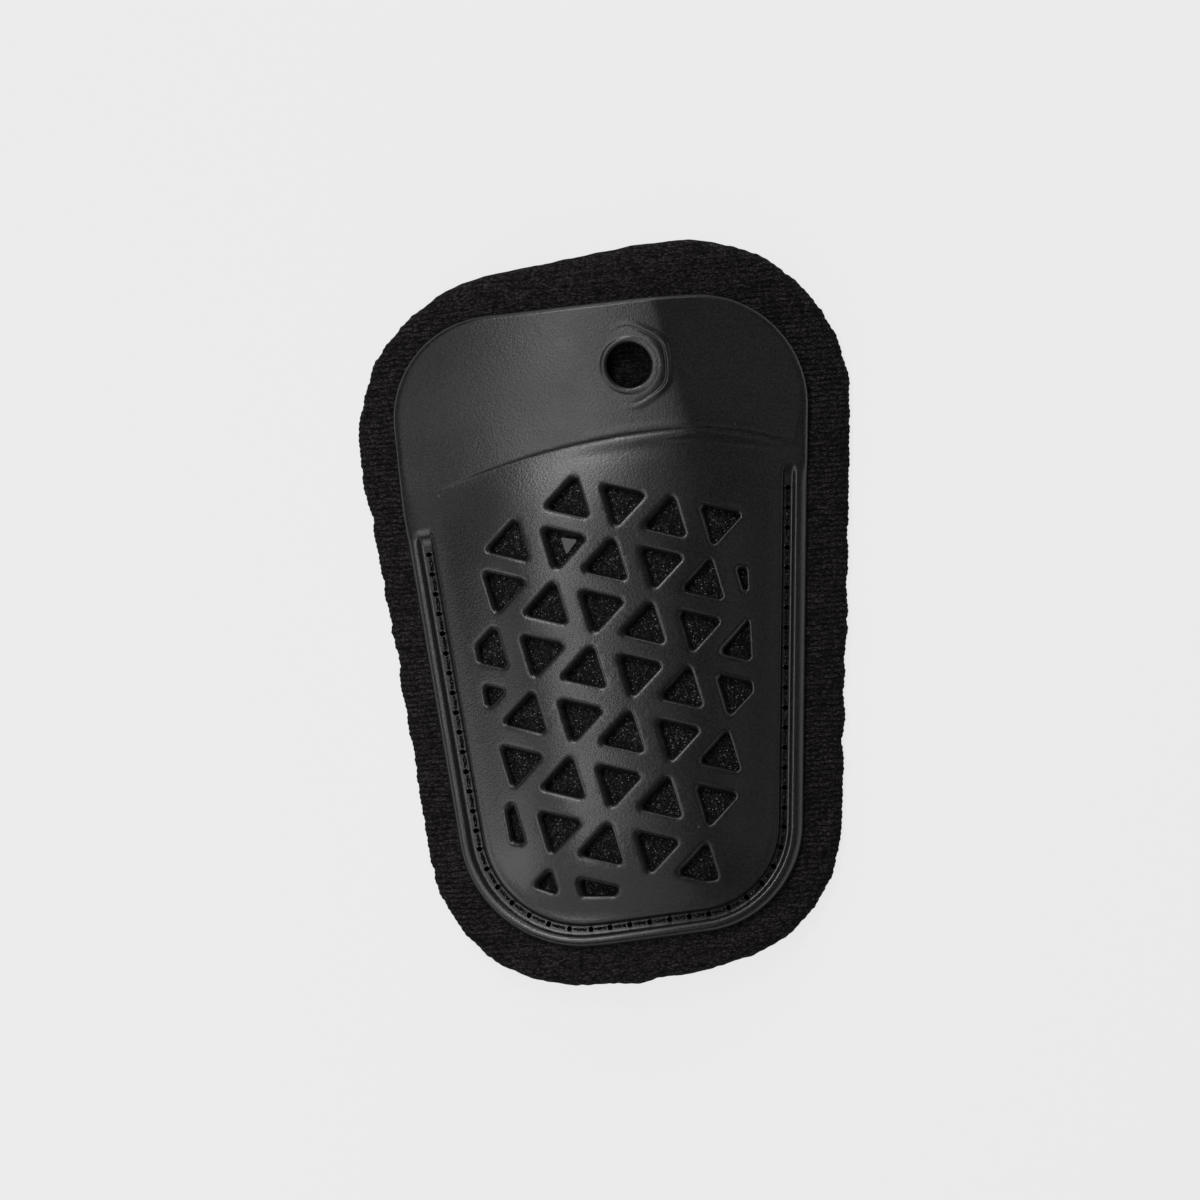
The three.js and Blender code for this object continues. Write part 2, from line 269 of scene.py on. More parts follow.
class GuardBodySizes(bpy.types.PropertyGroup):
    """Sizes of the arch, the dome and the flap."""

    pad_thick: length("Pad thickness", "Foam and fabric of the pad", 5)
    shell_thick: length("Shell thickness", "Wall of the moulded shell", 2)
    seat_gap: length("Seat gap", "Clearance between pieces that touch", 0.3)
    foot_half: length("Foot half span", "Half of the span between the pad's feet at mid length", 35.4)
    foot_taper: factor("Foot taper", "Change of the half span up the guard", 0.1)
    arch_curve: factor("Arch curve", "Fall of the arch per square metre from the middle", 5.5)
    left_side: length("Left side", "Place of the shell's left side at mid length", -33.5)
    left_lean: factor("Left lean", "Lean of the left side", -0.0857)
    right_side: length("Right side", "Place of the shell's right side at mid length", 31.5)
    right_lean: factor("Right lean", "Lean of the right side", 0.0935)
    bottom_side: length("Bottom side", "Place of the shell's bottom edge", -55.7)
    corner_soft: length("Corner softness", "Rounding of the dome at the lower corners", 20)
    dome_rise: length("Dome rise", "Height of the dome under the vents", 2.6)
    dome_foot: length("Dome foot", "Distance of the dome's foot from the edge", 4)
    dome_ease: length("Dome easing", "Softness of the dome's inner end", 6)
    dome_run: length("Dome run", "Width of the dome's slope", 16)
    shoulder_run: length("Shoulder run", "Width of the dome's upper slope", 17)
    crease_x: length("Crease top X", "Place of the top of the crease across the guard", 12)
    crease_y: length("Crease top Y", "Height of the top of the crease", 30.4)
    crease_left: length("Crease left", "Squared run per drop of the crease's left arm", 236)
    crease_right: length("Crease right", "Squared run per drop of the crease's right arm", 96)
    crease_deep: length("Crease depth", "Depth of the valley along the crease", 0.26)
    crease_wide: length("Crease width", "Half width of that valley", 0.36)
    ridge_x: length("Ridge X", "Place of the flap's ridge at its top", 10.2)
    ridge_y: length("Ridge Y", "Height of the flap's top", 53)
    ridge_lean: factor("Ridge lean", "Lean of the ridge", 0.213)
    ridge_lift: length("Ridge lift", "Height of the ridge over the arch", 2.7)
    ridge_sharp: length("Ridge sharpness", "Rounding of the ridge at the flap's top", 0.2)
    ridge_soft: length("Ridge softness", "Further rounding of the ridge at the crease", 0.5)
    ridge_blunt: length("Ridge bluntness", "Rounding of the ridge below the crease", 3.2)
    flap_left: length("Flap left", "Left end of the flap's section", -36)
    flap_right: length("Flap right", "Right end of the flap's section", 34.6)
    flap_ease: length("Flap easing", "Softness of the flap's join with the arch", 0.5)
    flap_lift: length("Flap lift", "Stand-off of the free flap", 0.6)
    flap_run: length("Flap run", "Distance over which the flap comes to its stand-off", 24)
    flap_start: length("Ridge start", "Height where the ridge grows out of the dome", 21)
    flap_full: length("Ridge full", "Height where the ridge is whole", 30)
    lip_rise: length("Lip rise", "Height of the lip between crease and flap", 0.07)


class GuardDetailSizes(bpy.types.PropertyGroup):
    """Sizes of the vents, the round hole, the groove and the sewing."""

    vent_side: length("Vent side", "Side of a vent's triangle", 8)
    vent_round: length("Vent rounding", "Corner radius of a vent", 0.6)
    vent_turn: FloatProperty(
        name="Vent turn",
        description="Turn of the triangles in the plan",
        default=math.radians(-17.5),
        subtype="ANGLE",
    )
    first_x: length("First vent X", "Start of the rows", -12.64)
    first_y: length("First vent Y", "Start of the rows", 32.07)
    step_x: length("Step X", "To the next vent that points the same way", 16.15)
    step_y: length("Step Y", "To the next vent that points the same way", -4.63)
    row_x: length("Row step X", "To the next row", 5.54)
    row_y: length("Row step Y", "To the next row", -11.39)
    down_x: length("Down step X", "From an upward vent to its downward neighbour", 8.62)
    down_y: length("Down step Y", "From an upward vent to its downward neighbour", -1.0)
    row_spread: length("Row spread", "Opening of the rows away from the fourth", -0.061)
    eye_x: length("Hole X", "Place of the flap's round hole", 4.9)
    eye_y: length("Hole Y", "Place of the flap's round hole", 42.0)
    eye_dia: length("Hole diameter", "Clear width of the round hole", 7.5)
    collar_half: length("Collar half width", "Half width of the six-sided collar", 7.5)
    collar_lean: factor("Collar lean", "Slope of the collar's face", 0.09)
    collar_soft: length("Collar softness", "Rounding of the collar's edge", 1.0)
    channel_in: length("Collar line", "Distance of the fine line from the collar's edge", 1.35)
    channel_half: length("Collar line width", "Half width of that line", 0.24)
    groove_left: length("Groove top left", "Where the groove ends on the left", 16.2)
    groove_right: length("Groove top right", "Where the groove ends on the right", 22.8)
    free_run: length("Free run", "Distance over which the edge's section narrows to the flap's", 14)
    groove_fade: length("Groove end", "Run-out of the groove's end", 1.3)
    stitch_pitch: length("Stitch pitch", "Least length of one stitch", 3.2)
    stitch_in: length("Stitch line", "Distance of the stitches from the shell's edge", 3.03)
    edge_step: length("Edge step", "Spacing of points along the shell's edge", 0.85)
    needle_dia: length("Needle hole", "Diameter of a needle hole", 0.96)
    thread_dia: length("Thread", "Diameter of one ply of the thread", 0.32)
    ply_reach: length("Ply reach", "Distance of a ply from the thread's middle", 0.14)


class GuardClothSizes(bpy.types.PropertyGroup):
    """Sizes of the pad's cloth and of the foam."""

    pad_grow: length("Pad growth", "Fullness of the pad's rim beyond its outline", 0.45)
    pad_step: length("Pad step", "Spacing of points along the pad's edge", 1.05)
    pressure: factor("Pressure", "Air pressure that fills the pad's rim", 4.0)
    swell_cap: length("Swell cap", "Most that the filled rim may move", 0.9)
    rib_pitch: length("Rib pitch", "Spacing of the knit's ribs", 0.92)
    rib_edge: length("Rib edge", "Scallop of the cut edge at the ribs", 0.06)
    edge_wave: length("Edge wave", "Unevenness of the cut edge", 0.5)
    foam_step: length("Foam step", "Mesh size of the foam's face", 0.5)
    foam_pit: length("Foam pit", "Depth of the foam's open cells", 0.4)


class GuardColours(bpy.types.PropertyGroup):
    """Colours of the finishes."""

    shell: colour("Shell", "Moulded plastic", (0.0085, 0.0085, 0.0086))
    cloth: colour("Cloth", "Knit face of the pad", (0.0126, 0.0112, 0.0116))
    foam: colour("Foam", "Open-cell foam", (0.0026, 0.0025, 0.0025))
    # Painted highlight: colour given to the foam's glints.
    painted_glint: colour("Glint", "Bright grains in the foam", (0.26, 0.25, 0.24))
    thread: colour("Thread", "Sewing thread", (0.017, 0.0164, 0.016))
    film: colour("Film", "Smooth skin on the foam", (0.055, 0.054, 0.055))
    floor: colour("Floor", "Studio floor", (0.86, 0.86, 0.86))


class GuardStageSizes(bpy.types.PropertyGroup):
    """Camera and light."""

    view_wide: length("View width", "Width of the picture at the pad", 204)
    view_x: length("View X", "Middle of the picture", -3.25)
    view_y: length("View Y", "Middle of the picture", 2.8)
    view_high: length("Camera height", "Height of the camera", 2000)
    view_turn: FloatProperty(
        name="Camera turn",
        description="Turn of the camera about the vertical",
        default=math.radians(-4.7),
        subtype="ANGLE",
    )
    floor_wide: length("Floor width", "Width of the floor", 6000)


def sizes(name):
    """One of the scene's groups of settings."""
    return getattr(bpy.context.scene, "guard_" + name)


def clamp(value):
    return min(1.0, max(0.0, value))


def ease(value):
    """Smooth step from zero to one."""
    t = clamp(value)
    return t * t * (3 - 2 * t)


def soft(value):
    """Positive part of a value with a rounded start."""
    return math.hypot(max(value, 0.0), DOME_ROUNDING) - DOME_ROUNDING


def swell(value):
    """Rise from zero to one that flattens at its end."""
    return 1 - (1 - clamp(value)) ** 2


class GuardForm:
    """Heights of the guard's pieces over the plan."""

    def __init__(self):
        self.body = sizes("body")
        self.detail = sizes("detail")

    def arch(self, x, y):
        half = self.body.foot_half + self.body.foot_taper * y
        return self.body.arch_curve * (half * half - x * x)

    def pad_face(self, x, y):
        return self.arch(x, y) + self.body.pad_thick

    def pad_back(self, x, y):
        return max(self.arch(x, y), 0.0)

    def seat(self, x, y):
        return self.pad_face(x, y) + self.body.seat_gap

    def crease(self, x):
        run = x - self.body.crease_x
        return self.body.crease_y - run * run / (self.body.crease_left if run < 0 else self.body.crease_right)

    def ridge(self, y):
        return self.body.ridge_x + (self.body.ridge_y - y) * self.body.ridge_lean

    def edge_distance(self, x, y):
        b = self.body
        left = x - (b.left_side + b.left_lean * y)
        right = b.right_side + b.right_lean * y - x
        side = b.corner_soft - min(left, right)
        side = (side + math.hypot(side, b.dome_ease)) / 2
        low = max(b.corner_soft - (y - b.bottom_side), 0.0)
        return b.corner_soft - math.hypot(side, low)

    def flap_back(self, x, y):
        b = self.body
        ridge = self.ridge(y)
        crest = self.seat(ridge, y) + b.ridge_lift
        right = crest + (self.seat(b.flap_right, y) - crest) * (x - ridge) / (b.flap_right - ridge)
        t = (ridge - x) / (ridge - b.flap_left)
        left = crest + (self.seat(b.flap_left, y) - crest) * t * t
        blunt = b.ridge_sharp + b.ridge_soft * clamp((b.ridge_y - y) / RIDGE_SOFT_RUN)
        blunt += b.ridge_blunt * ease((self.crease(x) - y) / RIDGE_BLUNT_RUN)
        return (left + right - math.hypot(left - right, blunt)) / 2

    def shell_back(self, x, y):
        b = self.body
        share = ease((y - b.flap_start) / (b.flap_full - b.flap_start))
        seat = self.seat(x, y)
        rise = self.flap_back(x, y) - seat
        height = seat + share * (rise + math.hypot(rise, b.flap_ease)) / 2
        below = self.crease(x) - y
        inward = swell(soft((self.edge_distance(x, y) - b.dome_foot) / b.dome_run))
        height += b.dome_rise * inward * swell(below / b.shoulder_run)
        return height + b.flap_lift * ease(-below / b.flap_run)

    def plain_face(self, x, y):
        return self.shell_back(x, y) + self.body.shell_thick

    def collar(self, x, y):
        """Height of the collar over the flap, and zero away from it."""
        d = self.detail
        start = d.eye_x - d.collar_half
        across = Vector((x - d.eye_x, y - d.eye_y))
        sides = [abs(across.x * math.cos(a) + across.y * math.sin(a)) for a in (0, math.pi / 3, -math.pi / 3)]
        inside = d.collar_half - sum(s ** COLLAR_POWER for s in sides) ** (1 / COLLAR_POWER)
        if inside < 0:
            return 0.0
        face = self.plain_face(start, y) + d.collar_lean * (x - start)
        rise = max(face - self.plain_face(x, y), 0.0)
        channel = CHANNEL_DEEP * math.exp(-(((inside - d.channel_in) / d.channel_half) ** 2))
        return rise * (ease(inside / d.collar_soft) - channel)

    def shell_face(self, x, y):
        b = self.body
        above = y - self.crease(x)
        height = self.plain_face(x, y) + self.collar(x, y)
        present = ease((x - CREASE_START) / CREASE_RUN)
        fall = math.exp(-((above / b.crease_wide) ** 2)) if above > 0 else math.exp(above / CREASE_FADE)
        height -= b.crease_deep * present * fall
        left = ease((self.ridge(y) + LIP_PAST - x) / LIP_FALL)
        lip = ease((x - LIP_START) / LIP_RUN) * (LIP_RIGHT + (1 - LIP_RIGHT) * left)
        lip *= ease(above / LIP_SIDE) * (1 - ease((above - LIP_WIDE) / LIP_SIDE))
        return height + b.lip_rise * lip


class Outline:
    """Evenly spaced stations along a polygon whose corners are arcs, with outward normals."""

    def __init__(self, corners, step):
        path = []
        for k, (x, y, radius) in enumerate(corners):
            here = Vector((x, y)) * MM
            back = (Vector(corners[k - 1][:2]) * MM - here).normalized()
            ahead = (Vector(corners[(k + 1) % len(corners)][:2]) * MM - here).normalized()
            half = back.angle(ahead) / 2
            middle = here + (back + ahead).normalized() * (radius * MM / math.sin(half))
            start = here + back * (radius * MM / math.tan(half)) - middle
            turn = math.pi - 2 * half
            sign = 1 if back.x * ahead.y - back.y * ahead.x < 0 else -1
            arcs = max(2, round(math.degrees(turn)))
            for n in range(arcs + 1):
                angle = sign * turn * n / arcs
                c, s = math.cos(angle), math.sin(angle)
                path.append(middle + Vector((c * start.x - s * start.y, s * start.x + c * start.y)))
        path.append(path[0])
        runs = [(b - a).length for a, b in zip(path, path[1:])]
        self.count = round(sum(runs) / step)
        self.points = []
        gap, due = sum(runs) / self.count, 0.0
        walked = 0.0
        for a, b, run in zip(path, path[1:], runs):
            while run > 0 and due < walked + run - 1e-9:
                self.points.append(a.lerp(b, (due - walked) / run))
                due += gap
            walked += run
        self.points = self.points[:self.count]
        self.normals = []
        for k in range(self.count):
            along = self.points[(k + 1) % self.count] - self.points[k - 1]
            self.normals.append(Vector((along.y, -along.x)).normalized())
        self.tree = kdtree.KDTree(self.count)
        for k, p in enumerate(self.points):
            self.tree.insert((p.x, p.y, 0), k)
        self.tree.balance()

    def at(self, station, inset):
        """Plan point at a station, which may lie between two, and an inset from the edge."""
        low = math.floor(station)
        t = station - low
        p = self.points[low % self.count].lerp(self.points[(low + 1) % self.count], t)
        n = self.normals[low % self.count].lerp(self.normals[(low + 1) % self.count], t)
        return p - n.normalized() * inset

    def outside(self, x, y):
        """Signed distance from the edge, positive outside, with the nearest station."""
        _, k, _ = self.tree.find((x, y, 0))
        return (Vector((x, y)) - self.points[k]).dot(self.normals[k]), k


def ring(bm, outline, inset, height):
    """Closed ring of edges along an outline, each vertex marked with its station."""
    layer = bm.verts.layers.int.get("station") or bm.verts.layers.int.new("station")
    verts = []
    for k in range(outline.count):
        p = outline.at(k, inset)
        verts.append(bm.verts.new((p.x, p.y, height)))
        verts[-1][layer] = k
    return [bm.edges.new((verts[k - 1], verts[k])) for k in range(outline.count)]


def faces_of(geom):
    return [g for g in geom if isinstance(g, bmesh.types.BMFace)]


def sweep(bm, edges, place):
    """Extrudes a ring and moves each new vertex to place(station); gives the new ring and its faces."""
    layer = bm.verts.layers.int["station"]
    made = bmesh.ops.extrude_edge_only(bm, edges=edges)["geom"]
    fresh = {g for g in made if isinstance(g, bmesh.types.BMVert)}
    for v in fresh:
        v.co = place(v[layer])
    ahead = [g for g in made if isinstance(g, bmesh.types.BMEdge) and all(v in fresh for v in g.verts)]
    return ahead, faces_of(made)


def whole(faces):
    """Faces with their edges and vertices."""
    return list({e for f in faces for e in f.edges} | {v for f in faces for v in f.verts}) + list(faces)


def cut_across(bm, geom, axis, places, snap):
    """Cuts geometry across an axis at several places and gives what it has become."""
    normal = Vector((1 - axis, axis, 0))
    for place in places:
        cut = bmesh.ops.bisect_plane(bm, geom=geom, dist=snap, plane_co=normal * place, plane_no=normal)
        geom = [g for g in cut["geom"] if g.is_valid]
    return geom


def slices(bm, faces, step):
    """Cuts faces along a square grid so that they can follow a curved height."""
    geom = whole(faces)
    for axis in (0, 1):
        low = min(v.co[axis] for f in faces for v in f.verts)
        high = max(v.co[axis] for f in faces for v in f.verts)
        places = [low + n * step for n in range(1, math.floor((high - low) / step))]
        geom = cut_across(bm, geom, axis, places, step * GRID_SNAP)
        faces = faces_of(geom)
    return faces


def fill(bm, edges, step, normal=(0, 0, 1)):
    """Fills between closed loops and slices the fill."""
    made = bmesh.ops.triangle_fill(bm, use_beauty=True, edges=edges, normal=normal)["geom"]
    return slices(bm, faces_of(made), step)


def finish_mesh(bm, name, smooth=True):
    """Turns a bmesh into an object at the origin."""
    bmesh.ops.recalc_face_normals(bm, faces=bm.faces[:])
    for f in bm.faces:
        f.smooth = smooth
    mesh = bpy.data.meshes.new(name)
    bm.to_mesh(mesh)
    bm.free()
    piece = bpy.data.objects.new(name, mesh)
    bpy.context.scene.collection.objects.link(piece)
    return piece


def settle(piece, material, slot, *nodes):
    """Gives a piece its finish and ties it to the frame."""
    piece.data.materials.clear()
    piece.data.materials.append(material)
    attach(piece, "root")
    if nodes:
        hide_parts(*nodes)


class Value:
    """Output of a node that takes part in Python arithmetic; each operator adds a Math node."""

    def __init__(self, graph, socket):
        self.graph = graph
        self.socket = socket

    def math(self, operation, *others):
        given = dict(enumerate((self, *others)))
        return self.graph.node("ShaderNodeMath", {"operation": operation}, given, "Value")

    def __add__(self, other):
        return self.math("ADD", other)

    def __mul__(self, other):
        return self.math("MULTIPLY", other)

    def __rsub__(self, other):
        return (self * -1.0) + other

    def __gt__(self, other):
        return self.math("GREATER_THAN", other)


def shade(hue, share):
    """Colour made darker or lighter."""
    return tuple(c * share for c in hue)


class Finish:
    """Material with a Principled shader, built node by node."""

    def __init__(self, name):
        self.material = bpy.data.materials.new(name)
        self.material.use_nodes = True
        self.tree = self.material.node_tree
        self.shader = self.tree.nodes["Principled BSDF"]
        self.place = self.node("ShaderNodeTexCoord", {}, {}, "Object")

    def node(self, kind, settings, inputs, output):
        """Adds a node, sets it up, feeds its sockets and gives one of its outputs."""
        made = self.tree.nodes.new(kind)
        for key, value in settings.items():
            setattr(made, key, value)
        for key, value in inputs.items():
            if isinstance(value, Value):
                self.tree.links.new(value.socket, made.inputs[key])
            else:
                made.inputs[key].default_value = value
        return Value(self, made.outputs[output])

    def spread(self, scale, turn=0.0):
        """Object coordinates turned about Z, then scaled along each axis."""
        given = {"Vector": self.place, "Rotation": (0, 0, turn)}
        turned = self.node("ShaderNodeMapping", {}, given, "Vector")
        return self.node("ShaderNodeMapping", {}, {"Vector": turned, "Scale": scale}, "Vector")

    def grain(self, scale, detail=2.0, rough=0.5, place=None):
        """Noise between zero and one."""
        given = {"Vector": place or self.place, "Scale": scale, "Detail": detail, "Roughness": rough}
        return self.node("ShaderNodeTexNoise", {}, given, "Fac")

    def cells(self, place, scale, output):
        """Random cells: the distance from a cell's middle, or the cell's own colour."""
        given = {"Vector": place, "Scale": scale}
        return self.node("ShaderNodeTexVoronoi", {"feature": "F1"}, given, output)

    def between(self, value, low, high, to_low=0.0, to_high=1.0):
        """Smooth step of a value from one range to another."""
        given = {0: value, 1: low, 2: high, 3: to_low, 4: to_high}
        return self.node("ShaderNodeMapRange", {"interpolation_type": "SMOOTHSTEP"}, given, "Result")

    def blend(self, share, first, second):
        """Colour between two colours."""
        first = first if isinstance(first, Value) else (*first, 1)
        second = second if isinstance(second, Value) else (*second, 1)
        return self.node("ShaderNodeMix", {"data_type": "RGBA"}, {0: share, 6: first, 7: second}, 2)

    def bump(self, height, strength, distance):
        given = {"Height": height, "Strength": strength, "Distance": distance}
        return self.node("ShaderNodeBump", {}, given, "Normal")

    def wear(self, **inputs):
        """Feeds the shader; names use underscores for spaces."""
        for key, value in inputs.items():
            socket = self.shader.inputs[key.replace("_", " ")]
            if isinstance(value, Value):
                self.tree.links.new(value.socket, socket)
            else:
                socket.default_value = value
        return self.material


def moulded_plastic():
    """Satin black plastic with a fine mould grain, flow lines and a little dust; the needle holes are painted
    near-black as shade.
    """
    f = Finish("satin_plastic")
    hue = sizes("colours").shell
    fine = f.grain(2600.0, 2.0)
    cloudy = f.grain(70.0, 3.0)
    flow = f.grain(1.0, 2.0, 0.6, f.spread((1300.0, 70.0, 300.0), math.radians(35)))
    speck = f.cells(f.place, 330.0, "Distance")
    dust = f.between(speck, 0.08, 0.03) * (f.grain(150.0, 1.0) > 0.62)
    tone = f.blend(f.between(fine, 0.3, 0.7), shade(hue, 0.5), shade(hue, 1.4))
    tone = f.blend(dust * 0.5, tone, (0.11, 0.11, 0.11))
    marked = f.between(f.grain(110.0, 2.0), 0.48, 0.66) * 0.6
    normal = f.bump(fine * 0.9 + flow * marked, 0.8, 0.00005)
    # Painted shade: inside the needle holes the colour goes near-black and the finish metallic, so the holes
    # reflect nothing.
    hole = f.node("ShaderNodeAttribute", {"attribute_name": "needle"}, {}, "Fac")
    tone = f.blend(hole, tone, (0.0005, 0.0005, 0.0005))
    rough = f.between(cloudy, 0.3, 0.7, 0.26, 0.32) + fine * 0.06 + hole * 0.7
    return f.wear(Base_Color=tone, Metallic=hole, Roughness=rough, Normal=normal, Specular_IOR_Level=0.5)


def knit_cloth():
    """Brushed knit: fine ribs across the pad under a short pile, with painted shade under the flap's round
    hole.
    """
    f = Finish("brushed_knit")
    hue = sizes("colours").cloth
    pitch = sizes("cloth").rib_pitch
    # middle of the painted shade: on the pad's face below the flap's round hole
    hole_shade_centre = (sizes("detail").eye_x, sizes("detail").eye_y, 0.0135)
    wander = f.grain(300.0, 2.0)
    along = f.node("ShaderNodeSeparateXYZ", {}, {0: f.place}, "Y")
    wave = ((along + wander * (pitch * 1.2)) * (2 * math.pi / pitch)).math("SINE")
    across = f.node("ShaderNodeSeparateXYZ", {}, {0: f.place}, "X").math("ABSOLUTE")
    flat = f.between(across, 0.018, 0.03, 0.7, 0.35)
    rows = f.between(wave, -1.0, 0.2) * (1.0 - flat) + flat
    loop = f.spread((1700.0, 3200.0, 2200.0))
    gaps = f.cells(loop, 1.0, "Distance")
    lot = f.cells(loop, 1.0, "Color")
    draw = f.node("ShaderNodeSeparateColor", {}, {0: lot}, "Red")
    loops = f.between(gaps, 0.8, 0.2, 0.2, 1.0) * (draw * 0.85 + 0.15)
    matted = f.between(f.grain(420.0, 3.0, 0.6), 0.3, 0.7, 0.55, 1.0)
    tone = f.blend(rows * loops * matted, shade(hue, 0.22), shade(hue, 4.5))
    # Painted shade: the cloth is darkened to about half its tone within 5 mm of the round hole's middle,
    # fading out by 8 mm.
    deep = f.node("ShaderNodeVectorMath", {"operation": "DISTANCE"}, {0: f.place, 1: hole_shade_centre}, "Value")
    tone = f.blend(f.between(deep, 0.005, 0.008, 0.55, 1.0), (0.0005, 0.0004, 0.0004), tone)
    relief = f.bump(rows * 0.8 + loops * 1.2, 1.0, 0.0002)
    return f.wear(Base_Color=tone, Roughness=1.0, Normal=relief, Specular_IOR_Level=0.05)


def open_foam():
    """Dark foam of fused grains, with glints painted into its colour as highlights."""
    f = Finish("open_foam")
    hues = sizes("colours")
    cells = f.cells(f.place, 3400.0, "Distance")
    lot = f.cells(f.place, 3400.0, "Color")
    draw = f.node("ShaderNodeSeparateColor", {}, {0: lot}, "Red")
    tint = f.node("ShaderNodeSeparateColor", {}, {0: lot}, "Green")
    # Painted highlight: the brightest grains take the light glint colour.
    painted_glint = f.between(draw, 0.87, 0.98) * f.between(cells, 0.5, 0.15)
    grain = tint.math("POWER", 3.0) * f.between(cells, 0.75, 0.25)
    tone = f.blend(grain, shade(hues.foam, 0.3), shade(hues.foam, 20))
    tone = f.blend(painted_glint, tone, tuple(hues.painted_glint))
    relief = f.bump(cells * -1.0 + f.grain(1200.0, 3.0), 0.8, 0.0002)
    rough = f.between(draw, 0.75, 0.95, 0.85, 0.35)
    return f.wear(Base_Color=tone, Roughness=rough, Normal=relief, Specular_IOR_Level=0.2)


def twisted_thread():
    """Black polyester thread with fine filaments, and glints on them painted into its colour."""
    f = Finish("twisted_thread")
    hue = sizes("colours").thread
    filaments_and_glints = f.grain(3400.0, 3.0, 0.7)
    # Painted highlight: flecks of the filament noise are made much lighter than the thread as glints; the
    # same noise gives the filaments' relief.
    tone = f.blend(f.between(filaments_and_glints, 0.55, 0.7), shade(hue, 0.05), shade(hue, 10))
    relief = f.bump(filaments_and_glints, 0.6, 0.00006)
    return f.wear(Base_Color=tone, Roughness=0.9, Normal=relief, Specular_IOR_Level=0.1)


def skin_film():
    """Smooth skin left on the foam."""
    f = Finish("skin_film")
    hue = sizes("colours").film
    tone = f.blend(f.grain(900.0, 2.0), shade(hue, 0.8), tuple(hue))
    return f.wear(Base_Color=tone, Roughness=0.5)


def studio_floor():
    """Pale floor that glows evenly."""
    f = Finish("studio_floor")
    pale = (*sizes("colours").floor, 1)
    f.wear(Base_Color=FLOOR_GREY, Roughness=1.0, Specular_IOR_Level=0.0)
    return f.wear(Emission_Color=pale, Emission_Strength=FLOOR_GLOW)


def shell_outline():
    return Outline(SHELL_CORNERS, sizes("detail").edge_step)


def below_top(outline, station):
    """How far a station lies below the end of the groove on its side."""
    d = sizes("detail")
    p = outline.points[station % outline.count]
    return (d.groove_left if p.x < 0 else d.groove_right) - p.y


def sewn_share(outline, station):
    """One along the sewn sides of the shell, zero round its flap."""
    return ease(below_top(outline, station) / sizes("detail").groove_fade)


def free_share(outline, station):
    """Zero along the sewn sides of the shell, growing slowly to one round its flap."""
    return ease(-below_top(outline, station) / sizes("detail").free_run)


def sewn_run(outline):
    """Stations of the sewn sides in order, from the left end of the groove round the bottom."""
    shares = [sewn_share(outline, k) for k in range(outline.count)]
    starts = [k for k in range(outline.count) if shares[k] == 1 and shares[k - 1] < 1]
    first = next(k for k in starts if outline.points[k].x < 0)
    return [first + n for n in range(outline.count) if shares[(first + n) % outline.count] == 1]


def needle_stations(outline):
    """Stations of the needle holes, a stitch apart along the groove."""
    d = sizes("detail")
    run = sewn_run(outline)
    kept = [run[NEEDLE_MARGIN]]
    for k in run[NEEDLE_MARGIN + 1:-NEEDLE_MARGIN]:
        if (outline.at(k, d.stitch_in) - outline.at(kept[-1], d.stitch_in)).length > d.stitch_pitch:
            kept.append(k)
    return kept


def trimmed(points):
    """Part of a convex polygon inside the vented field."""
    corners = [Vector(c) * MM for c in FIELD_CORNERS]
    for a, b in zip(corners, corners[1:] + corners[:1]):
        along = (b - a).normalized()
        depth = [(p - a).dot(Vector((-along.y, along.x))) for p in points]
        kept = []
        for k, p in enumerate(points):
            follows = (k + 1) % len(points)
            if depth[k] >= 0:
                kept.append(p)
            if depth[k] * depth[follows] < 0:
                kept.append(p.lerp(points[follows], depth[k] / (depth[k] - depth[follows])))
        points = kept
    return points


def vent_corners(row, number):
    """Corners of one vent in millimetres, each with an arc that fits on its sides."""
    d = sizes("detail")
    down = number % 2
    step = (number - down) // 2
    x = d.first_x + step * d.step_x + row * d.row_x + down * d.down_x
    y = d.first_y + step * d.step_y + row * d.row_y + down * d.down_y
    y += d.row_spread * (row - MIDDLE_ROW) ** 2
    reach = d.vent_side / math.sqrt(3)
    turns = [d.vent_turn + math.radians((-90 if down else 90) + 120 * k) for k in range(3)]
    points = trimmed([Vector((x + reach * math.cos(t), y + reach * math.sin(t))) for t in turns])
    corners = []
    for k, p in enumerate(points):
        back = points[k - 1] - p
        ahead = points[(k + 1) % len(points)] - p
        fits = ARC_FIT * min(back.length, ahead.length) * math.tan(back.angle(ahead) / 2)
        corners.append((p.x / MM, p.y / MM, min(d.vent_round, fits) / MM))
    return corners


def collar_corners():
    """Hexagon of the collar in millimetres, with sides to the left and right."""
    d = sizes("detail")
    reach = d.collar_half / math.cos(math.pi / 6) / MM
    turns = [math.pi / 6 + math.pi / 3 * k for k in range(6)]
    x = d.eye_x / MM
    y = d.eye_y / MM
    return [(x + reach * math.cos(t), y + reach * math.sin(t), COLLAR_ROUND) for t in turns]


def rim_loops(bm, outline, rim):
    """Rings round a vent from the face down through the shell; gives the first and the last."""
    pairs = list(zip(outline.points, outline.points[1:] + outline.points[:1]))
    room = sum(a.x * b.y - a.y * b.x for a, b in pairs) / sum((b - a).length for a, b in pairs)
    taper = clamp(room / TAPER_ROOM)
    lean = Vector(VENT_LEAN) * taper * MM
    middle = sum(outline.points, Vector((0, 0))) / outline.count
    first = ring(bm, outline, -rim[0][0] * MM, rim[0][1] * MM)
    edge = first
    for grow, height in rim[1:]:
        def place(k):
            if grow > 0:
                p = outline.at(k, -grow * MM)
            else:
                p = middle.lerp(outline.points[k], 1 + grow * taper * MM / room) + lean * grow
            return Vector((p.x, p.y, height * MM))
        edge, _ = sweep(bm, edge, place)
    return first, edge


